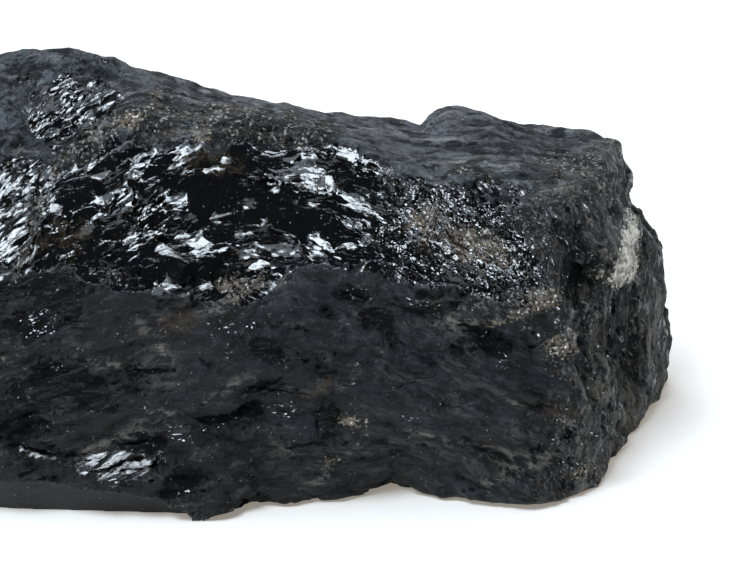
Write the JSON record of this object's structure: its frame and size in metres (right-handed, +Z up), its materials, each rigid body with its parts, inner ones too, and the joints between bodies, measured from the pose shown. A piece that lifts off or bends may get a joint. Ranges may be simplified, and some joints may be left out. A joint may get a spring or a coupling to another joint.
{
  "type": "raw morion quartz",
  "caption": "Rough block of nearly black smoky quartz with a glassy broken front edge, a worn top and a flat underside to rest on.",
  "frame": {"origin": "bottom centre of the bounding box, on the plane that the stone rests on", "axes": "+X along the stone's length towards its low end, -Y towards its front face, +Z up"},
  "size_m": [0.2456, 0.1212, 0.1071],
  "materials": {
    "morion": "nearly black glassy quartz, glossy on fresh breaks and duller on worn faces, with pale tan crushed spots"
  },
  "bodies": {
    "root": {"morion_lump": "morion"}
  },
  "joints": []
}
